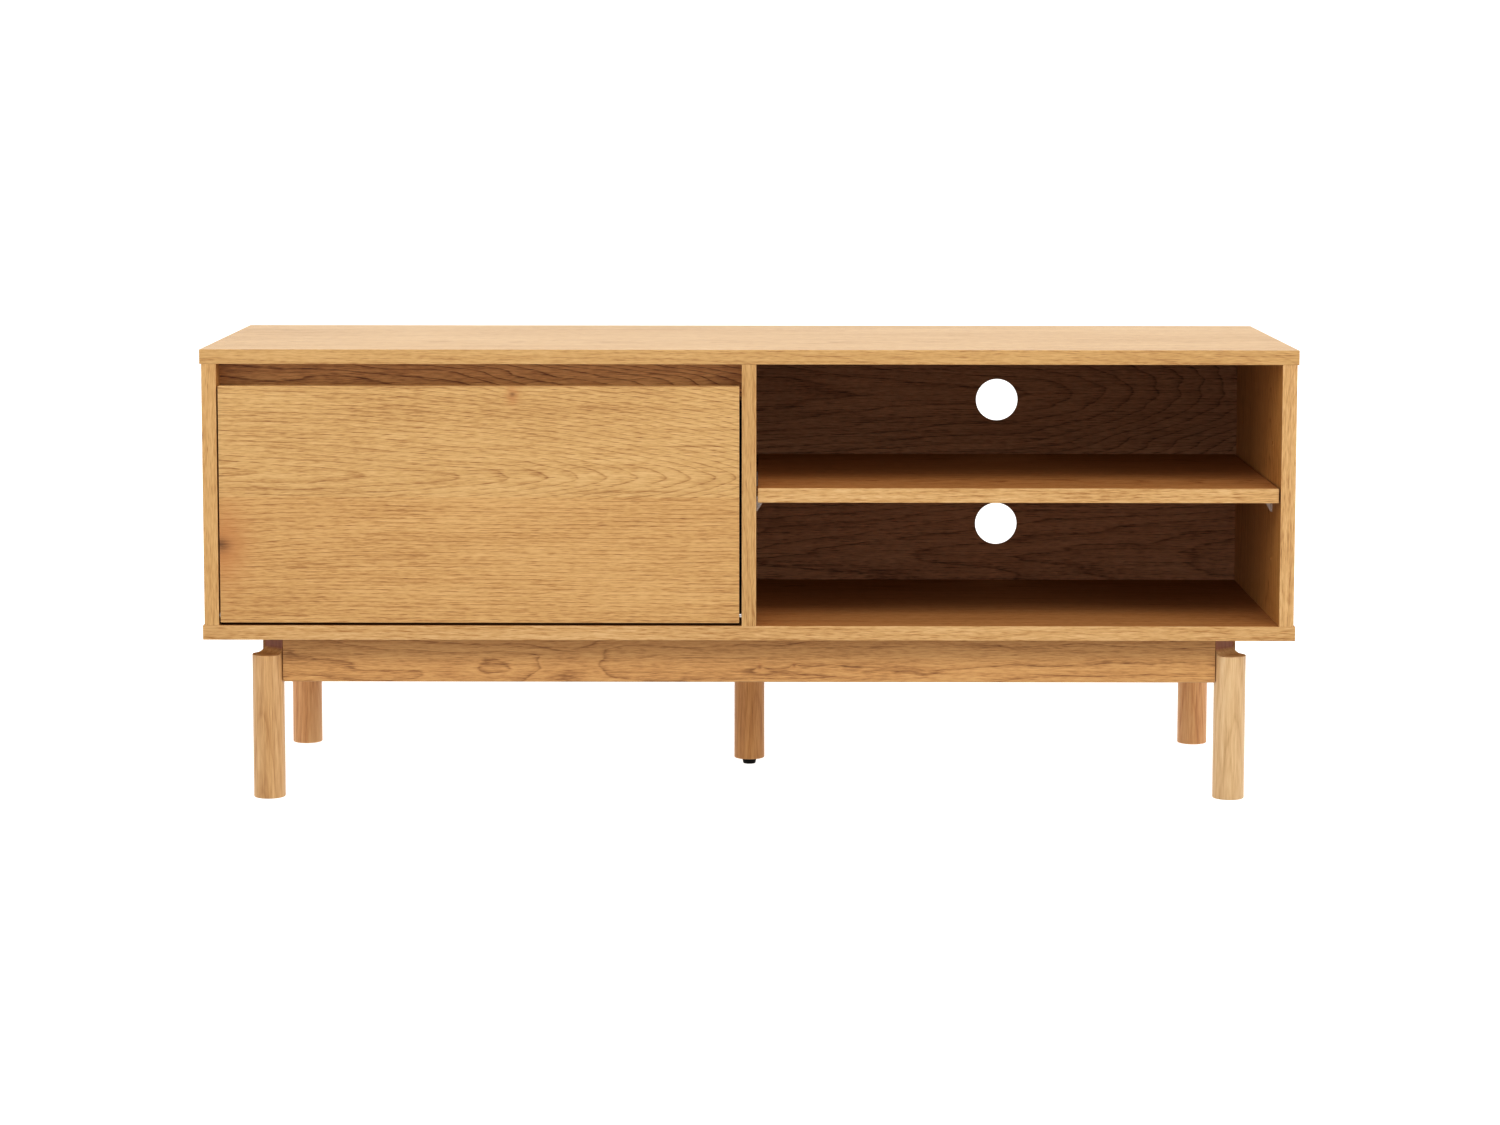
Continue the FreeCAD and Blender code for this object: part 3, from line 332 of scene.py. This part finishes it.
def back_board(name, seed, planks, holes, line, lower_bay_painted_light):
    """Film on the front, made paler below the shelf by painted light; bare board behind and in hole rims."""
    material = wood(name, "X", seed, back_tones, planks, line=line, streak=line * 0.75, sheen=0.06)
    tree = material.node_tree
    shader = tree.nodes["Principled BSDF"]
    film = shader.inputs["Base Color"].links[0].from_socket
    place = add_node(tree, "ShaderNodeTexCoord").outputs["Object"]
    x, y, z = add_node(tree, "ShaderNodeSeparateXYZ", {0: place}).outputs
    # Painted light: below the shelf the film is made paler, standing in for the brighter lower bay.
    painted_light_gain = remap(tree, z, 0.30, 0.37, lower_bay_painted_light, 1.0)
    painted_light_colour = add_node(tree, "ShaderNodeCombineXYZ", {0: painted_light_gain, 1: painted_light_gain, 2: painted_light_gain}).outputs[0]
    film = blend(tree, 1.0, film, painted_light_colour, "MULTIPLY")
    bare = calc(tree, "GREATER_THAN", y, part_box(name)[0].y + back_film_thickness)
    for hole_x, hole_z in holes:
        dx = calc(tree, "SUBTRACT", x, hole_x)
        dz = calc(tree, "SUBTRACT", z, hole_z)
        reach = calc(tree, "SQRT", calc(tree, "MULTIPLY_ADD", dx, dx, calc(tree, "MULTIPLY", dz, dz)))
        bare = calc(tree, "MAXIMUM", bare, calc(tree, "LESS_THAN", reach, cable_hole_radius + rim_depth))
    speck = even_noise(tree, place, 900.0, 3.0)
    cloud = even_noise(tree, place, 14.0)
    mottle = calc(tree, "ADD", calc(tree, "MULTIPLY", speck, 0.6), calc(tree, "MULTIPLY", cloud, 0.4))
    core = ramp(tree, mottle, [(0.30, (0.115, 0.062, 0.030)), (0.70, (0.235, 0.140, 0.072))])
    tree.links.new(blend(tree, bare, film, core), shader.inputs["Base Color"])
    return material


# The last figure is the painted light below the shelf: none on the left panel, paler film on the right.
dress("left_back_panel", back_board("left_back_panel", 6.0, [(-9.0, 0.45, 0.05, 0.0070, 8.0, 0.0, 0.0)],
                                    (), 0.28, 1.0))
dress("right_back_panel", back_board("right_back_panel", 7.0, [(-9.0, 0.40, 0.05, 0.0080, -7.0, 0.0, 0.0),
                                                               (0.51, 0.60, 0.03, 0.0090, 7.0, 0.3, 60.0)],
                                     cable_holes, 0.42, 1.38))

# ---- Finger rail -------------------------------------------------------------------------
# A narrow rail of the same board, doweled between left side and divider behind the gap over the
# door, where fingers reach in. Its dark, bold figure runs aslant.

rail_film_tones = [(0.110, 0.038, 0.012), (0.310, 0.125, 0.040),
                   (0.590, 0.295, 0.105), (0.760, 0.435, 0.180)]
dress("finger_rail", wood("oak film, finger rail", "X", 8.0, rail_film_tones,
                          [(-9.0, 0.20, 0.02, 0.0060, 5.0, 0.0, 0.0)],
                          wander=0.10, wave=9.0, line=0.62, slant=0.10))

# ---- Shelf -------------------------------------------------------------------------------
# A loose shelf of faced board, edged all round. It lies on four supports and has a little play
# at each end, so that it can be drawn out or moved to another row of holes.

# All of the shelf but its edging strip is darkened with painted shade.
dress("shelf", wood("oak film, shelf", "X", 9.0, board_tones,
                    [(-9.0, 0.23, 0.05, 0.0060, 7.0, 0.2, 20.0),
                     (0.32, 0.45, 0.04, 0.0055, -7.0, 0.0, 0.0)],
                    strip=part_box("shelf")[0].y, strip_tint=(1.07, 1.09, 1.22), film=bay_painted_shade, sheen=0.0))

# ---- Flap door ---------------------------------------------------------------------------
# One leaf of faced board that turns on pins at its lower corners. Its film is printed as two
# wide planks: arched figure above the seam, straight grain and a pinkish knot below it.

door_low, door_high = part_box("door_panel")
door_front = door_low.y
seam = door_low.z + 0.139
arch_line = door_low.z + 0.163
edge_knot = (door_low.x + 0.002, door_low.z + 0.086 + door_front, 0.007, 0.042, 0.85)
top_knot = (door_low.x + 0.322, door_high.z - 0.009 + door_front, 0.0022, 0.010, 0.7)
door_film = wood("oak film, door", "X", 10.0, board_tones,
                 [(-9.0, seam + door_front - 0.30, 0.03, 0.0046, 4.0, 0.0, 0.0),
                  (seam + door_front, arch_line + door_front, 0.010, 0.0050, 6.0, -0.50, 33.0)],
                 knots=[edge_knot, top_knot])
door_tree = door_film.node_tree
door_colour = door_tree.nodes["Principled BSDF"].inputs["Base Color"]
door_place = add_node(door_tree, "ShaderNodeTexCoord").outputs["Object"]
door_height = add_node(door_tree, "ShaderNodeSeparateXYZ", {0: door_place}).outputs["Z"]
lower_plank = calc(door_tree, "LESS_THAN", door_height, seam)
redder = blend(door_tree, lower_plank, door_colour.links[0].from_socket, (0.97, 0.925, 0.88), "MULTIPLY")
door_tree.links.new(redder, door_colour)
dress("door_panel", door_film)

# ---- Legs --------------------------------------------------------------------------------
# Turned from oak and lacquered, the outer ones coved to a neck under the bottom panel. Each is
# cut from its own place in the log, so rings stand as lines on its sides and close to arches.
# Hanger bolts hold the outer legs in the frame's corners, and a plate holds the centre leg.

leg_ring_width = 0.0048
leg_crook = 0.012
leg_lean = 0.05
neck_shade_top, neck_shade_full = 0.0165, 0.0125    # down from the leg's top: where the painted neck shade starts, is full
weld_distance = 0.000002
crease_angle = math.radians(32)
left_leg_tones = [(0.340, 0.160, 0.060), (0.500, 0.280, 0.113),
                  (0.640, 0.402, 0.190), (0.760, 0.530, 0.285)]
right_leg_tones = [(0.380, 0.205, 0.090), (0.540, 0.340, 0.160),
                   (0.680, 0.465, 0.250), (0.780, 0.580, 0.345)]
under_leg_tones = [(0.270, 0.095, 0.036), (0.480, 0.215, 0.080),
                   (0.660, 0.345, 0.145), (0.780, 0.480, 0.225)]
centre_leg_tones = [(0.260, 0.100, 0.030), (0.440, 0.200, 0.062),
                    (0.580, 0.292, 0.098), (0.700, 0.400, 0.155)]


def leg_wood(node_name, seed, leg_tones, heart_side, heart_front, neck_painted_shade):
    """Solid wood ringed about a heart line beside the leg; the last figure lays painted shade on its neck.
    """
    material, tree, shader = new_surface(f"leg wood {node_name}")
    vector, run, cross_x, cross_y = grain_space(tree, "Z")
    low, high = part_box(node_name)
    centre = (low + high) / 2
    bend = sway(tree, vector, 5.0, 14.0, seed, 1.0)
    dx = calc(tree, "SUBTRACT", calc(tree, "MULTIPLY_ADD", bend, leg_crook, cross_x), centre.x + heart_side)
    dy = calc(tree, "SUBTRACT", calc(tree, "MULTIPLY_ADD", run, leg_lean, cross_y), centre.y + heart_front)
    reach = calc(tree, "SQRT", calc(tree, "MULTIPLY_ADD", dx, dx, calc(tree, "MULTIPLY", dy, dy)))
    wave = grain_noise(tree, vector, 8.0, 60.0, seed + 1.0)
    rings = calc(tree, "MULTIPLY_ADD", wave, 0.9, calc(tree, "DIVIDE", reach, leg_ring_width))
    late = ramp(tree, calc(tree, "FRACT", rings), [(0.0, (0.3,) * 3), (0.35, (0.0,) * 3), (0.82, (0.6,) * 3),
                                                   (0.93, (1.0,) * 3), (1.0, (0.3,) * 3)])
    fibre = sway(tree, vector, 9.0, 300.0, seed + 2.0, 3.0, 0.6)
    fine = sway(tree, vector, 45.0, 1300.0, seed + 3.0)
    tone = sway(tree, vector, 4.0, 22.0, seed + 4.0, 1.0)
    value = add_layers(tree, 0.68, (late, -0.24), (fibre, 0.75), (fine, 0.90), (tone, 0.70))
    colour = ramp(tree, value, list(zip((0.0, 0.32, 0.64, 1.0), leg_tones)))
    # Painted shade: the neck under the bottom panel is darkened and reddened towards the leg's top.
    neck_shade_mask = remap(tree, run, high.z - neck_shade_top, high.z - neck_shade_full)
    colour = blend(tree, calc(tree, "MULTIPLY", neck_shade_mask, neck_painted_shade), colour, (0.50, 0.23, 0.10), "MULTIPLY")
    tree.links.new(colour, shader.inputs["Base Color"])
    tree.links.new(remap(tree, value, 0.1, 0.9, 0.48, 0.36), shader.inputs["Roughness"])
    add_bump(tree, shader, value, 0.15, 0.0003)
    return material


def smooth_copy(node_name, body, material, finish):
    """A welded copy of a part, smooth over its round faces and crisp at its edges, that stands for it."""
    source = nodes[node_name].data
    shape = bmesh.new()
    shape.from_mesh(source)
    bmesh.ops.remove_doubles(shape, verts=shape.verts, dist=weld_distance)
    for face in shape.faces:
        face.smooth = True
    for edge in shape.edges:
        edge.smooth = len(edge.link_faces) == 2 and edge.calc_face_angle() < crease_angle
    data = bpy.data.meshes.new(f"{node_name}_{finish}")
    shape.to_mesh(data)
    shape.free()
    data.materials.append(material)
    piece = bpy.data.objects.new(f"{node_name}_{finish}", data)
    bpy.context.scene.collection.objects.link(piece)
    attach(piece, body)
    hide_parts(node_name)


# The last figure is the painted neck shade: full on the four coved legs, none on the centre leg.
for leg_name, *timber in [("front_left_leg", 11.0, left_leg_tones, 0.016, 0.050, 1.0),
                          ("front_right_leg", 12.0, right_leg_tones, -0.010, 0.060, 1.0),
                          ("rear_left_leg", 13.0, under_leg_tones, -0.030, 0.040, 1.0),
                          ("rear_right_leg", 14.0, under_leg_tones, 0.024, 0.050, 1.0),
                          ("centre_leg", 15.0, centre_leg_tones, 0.030, -0.055, 0.0)]:
    smooth_copy(leg_name, "cabinet", leg_wood(leg_name, *timber), "turned")

# ---- Frame rails -------------------------------------------------------------------------
# Four solid oak rails on edge under the bottom panel, let into flats on the legs and held at the
# corners by steel brackets. They are flat-sawn, so their faces show bold long arches and ovals.

rail_tones = [(0.170, 0.070, 0.024), (0.360, 0.175, 0.060), (0.565, 0.312, 0.120), (0.665, 0.405, 0.172)]
rail_heart_height = 0.145
front_knots = [(0.012, -0.031, 0.0018, 0.0035, 0.6), (0.050, -0.029, 0.0014, 0.0030, 0.6),
               (-0.200, -0.029, 0.0010, 0.0220, 0.05), (-0.330, -0.036, 0.0010, 0.0120, 0.05)]
for rail_name, along, seed, cross, knots in [("front_rail", "X", 16.0, -0.17, front_knots),
                                             ("rear_rail", "X", 17.0, 0.17, ()),
                                             ("left_rail", "Y", 18.0, -0.5325, ()),
                                             ("right_rail", "Y", 19.0, 0.5325, ())]:
    dress(rail_name, wood(f"rail wood {rail_name}", along, seed, rail_tones,
                          [(-9.0, rail_heart_height + cross, 0.020, 0.0085, 2.0, 0.0, 0.0)],
                          knots=knots, wave=4.6, line=0.44, streak=0.22, pore=0.20))

# ---- Shelf supports ----------------------------------------------------------------------
# Clear moulded plugs pushed into the rows of holes in the right side and divider, each with a
# web under its ledge. Light passes through them, and their walls tint a little.


def clear_plastic():
    """Clear plastic, faintly warm and uneven."""
    material, tree, shader = new_surface("clear moulded plastic", 0.12)
    place = add_node(tree, "ShaderNodeTexCoord").outputs["Object"]
    flow = even_noise(tree, place, 260.0)
    tint = ramp(tree, flow, [(0.3, (0.95, 0.86, 0.80)), (0.7, (1.0, 0.94, 0.90))])
    tree.links.new(tint, shader.inputs["Base Color"])
    shader.inputs["Transmission Weight"].default_value = 0.35
    shader.inputs["IOR"].default_value = 1.49
    add_bump(tree, shader, flow, 0.08, 0.0005)
    return material


smooth_copy("shelf_supports", "cabinet", clear_plastic(), "moulded")

# ---- Plastic parts -----------------------------------------------------------------------
# Mouldings with a fine spark-eroded skin: nylon bushes pressed into the door's lower corners,
# the case of the catch screwed under the finger rail, and the levelling foot.


def moulded(name, dark, light, roughness, sheen=0.5):
    """Moulded plastic between two tones."""
    material, tree, shader = new_surface(name)
    shader.inputs["Specular IOR Level"].default_value = sheen
    place = add_node(tree, "ShaderNodeTexCoord").outputs["Object"]
    skin = even_noise(tree, place, 1800.0)
    flow = even_noise(tree, place, 60.0)
    tree.links.new(ramp(tree, flow, [(0.3, dark), (0.7, light)]), shader.inputs["Base Color"])
    gloss = remap(tree, skin, 0.3, 0.7, roughness - 0.08, roughness + 0.08)
    tree.links.new(gloss, shader.inputs["Roughness"])
    add_bump(tree, shader, skin, 0.12, 0.0002)
    return material


nylon = moulded("natural nylon", (0.17, 0.14, 0.10), (0.23, 0.19, 0.14), 0.42, 0.2)
smooth_copy("door_bushes", "door", nylon, "moulded")
dress("catch_case", moulded("brown plastic", (0.075, 0.040, 0.022), (0.110, 0.062, 0.034), 0.45))
black = moulded("black plastic", (0.002, 0.002, 0.002), (0.005, 0.005, 0.005), 0.60, 0.15)
smooth_copy("leveller_foot", "leveller", black, "moulded")

# ---- Steel parts -------------------------------------------------------------------------
# Zinc-plated pressings, screws, bolts and pins, a little cloudy, with rub marks. The pole
# plates of the catch are bare ground steel.


def steel(name, dark, light, roughness):
    """Plated or bare steel between two tones."""
    material, tree, shader = new_surface(name)
    place = add_node(tree, "ShaderNodeTexCoord").outputs["Object"]
    cloud = even_noise(tree, place, 130.0, 4.0)
    rub = even_noise(tree, place, 900.0)
    tree.links.new(ramp(tree, cloud, [(0.3, dark), (0.7, light)]), shader.inputs["Base Color"])
    gloss = remap(tree, rub, 0.3, 0.7, roughness - 0.1, roughness + 0.12)
    tree.links.new(gloss, shader.inputs["Roughness"])
    shader.inputs["Metallic"].default_value = 1.0
    add_bump(tree, shader, rub, 0.08, 0.0002)
    return material


zinc = steel("bright zinc plate", (0.52, 0.53, 0.54), (0.70, 0.70, 0.68), 0.32)
plated_parts = {
    "cabinet": ["carcass_screws", "left_pivot_pin", "right_pivot_pin", "stay_guide", "stay_guide_screws",
                "catch_screws", "frame_screws", "corner_brackets", "bracket_screws", "hanger_bolts",
                "hanger_nuts", "centre_leg_plate", "centre_leg_bolt", "plate_screws", "leveller_insert"],
    "door": ["stay_bracket", "stay_bracket_screws", "stay_rivet", "strike_plate", "strike_screw"],
    "stay": ["stay_arm"],
    "leveller_thread": ["leveller_stud"],
}
for body, names in plated_parts.items():
    for name in names:
        smooth_copy(name, body, zinc, "plated")
dress("catch_magnet", steel("ground pole plates", (0.20, 0.20, 0.21), (0.34, 0.34, 0.35), 0.4))

# ---- Studio ------------------------------------------------------------------------------
# A wide light table for a floor, in a white room with a dimmer ceiling and a dim end in front,
# one broad soft lamp over the front, a weaker one on each side and a faint one above.

table_radius = 40.0
floor_shape = bmesh.new()
bmesh.ops.create_circle(floor_shape, cap_ends=True, segments=96, radius=table_radius)
floor_mesh = bpy.data.meshes.new("light_table")
floor_shape.to_mesh(floor_mesh)
floor_shape.free()
floor = bpy.data.objects.new("light_table", floor_mesh)
bpy.context.scene.collection.objects.link(floor)
table, table_tree, table_shader = new_surface("white light table", 0.85)
table_place = add_node(table_tree, "ShaderNodeTexCoord").outputs["Object"]
table_cloud = even_noise(table_tree, table_place, 3.0)
table_tone = ramp(table_tree, table_cloud, [(0.3, (0.42,) * 3), (0.7, (0.44,) * 3)])
table_tree.links.new(table_tone, table_shader.inputs["Base Color"])
table_shader.inputs["Emission Color"].default_value = (1.0, 1.0, 1.0, 1.0)
table_shader.inputs["Emission Strength"].default_value = 0.72
table_shader.inputs["Specular IOR Level"].default_value = 0.1
floor_mesh.materials.append(table)
floor.visible_diffuse = False


def soft_light(name, place, aim, width, depth, watts):
    """Rectangular light that looks at a point."""
    lamp = bpy.data.objects.new(name, bpy.data.lights.new(name, "AREA"))
    lamp.data.shape = "RECTANGLE"
    lamp.data.size = width
    lamp.data.size_y = depth
    lamp.data.energy = watts
    lamp.location = place
    lamp.rotation_euler = (Vector(aim) - Vector(place)).to_track_quat("-Z", "Y").to_euler()
    bpy.context.scene.collection.objects.link(lamp)


soft_light("overhead_lamp", (0.3, -3.2, 3.9), (0, 0, 0.3), 4.0, 1.5, 74)
soft_light("top_lamp", (0, 1.0, 3.2), (0, 0.1, 0.5), 3.0, 1.2, 9)
soft_light("left_lamp", (-3.6, -2.4, 1.8), (0, 0, 0.3), 2.0, 2.0, 22)
soft_light("right_lamp", (3.6, -2.4, 1.8), (0, 0, 0.3), 2.0, 2.0, 28)

room = bpy.data.worlds.new("white room")
room.use_nodes = True
room_tree = room.node_tree
direction = add_node(room_tree, "ShaderNodeTexCoord").outputs["Generated"]
height = add_node(room_tree, "ShaderNodeSeparateXYZ", {0: direction}).outputs["Z"]
rise = calc(room_tree, "MULTIPLY_ADD", height, 0.5, 0.5)
walls = ramp(room_tree, rise, [(0.470, (0.72,) * 3), (0.485, (1.04,) * 3), (0.625, (1.04,) * 3),
                               (0.90, (0.55,) * 3)])
open_side = add_node(room_tree, "ShaderNodeVectorMath", {0: direction, 1: (0.0, -0.99, 0.12)},
                     operation="DOT_PRODUCT").outputs["Value"]
shade = remap(room_tree, open_side, 0.72, 0.92, 1.0, 0.35)
room_tree.links.new(walls, room_tree.nodes["Background"].inputs["Color"])
room_tree.links.new(shade, room_tree.nodes["Background"].inputs["Strength"])
bpy.context.scene.world = room
bpy.context.scene.view_settings.view_transform = "Standard"
bpy.context.scene.view_settings.gamma = 0.8
bpy.context.scene.view_settings.exposure = 0.35

# ---- Camera ------------------------------------------------------------------------------
# A long lens about four metres in front of the stand, a little above its top and tipped down
# by nearly six degrees, so that the top panel shows as a thin bright band.

viewpoint = Vector((0.0121, -4.1384, 0.7897))
turned_left, tipped_down, rolled = 0.0028, 0.0998, 0.0009
camera = bpy.data.objects.new("camera", bpy.data.cameras.new("camera"))
camera.data.lens = 86.93
camera.data.shift_y = -0.078
heading = Matrix.Rotation(turned_left, 4, "Z") @ Matrix.Rotation(math.pi / 2 - tipped_down, 4, "X")
camera.matrix_world = Matrix.Translation(viewpoint) @ heading @ Matrix.Rotation(rolled, 4, "Z")
bpy.context.scene.collection.objects.link(camera)
bpy.context.scene.camera = camera
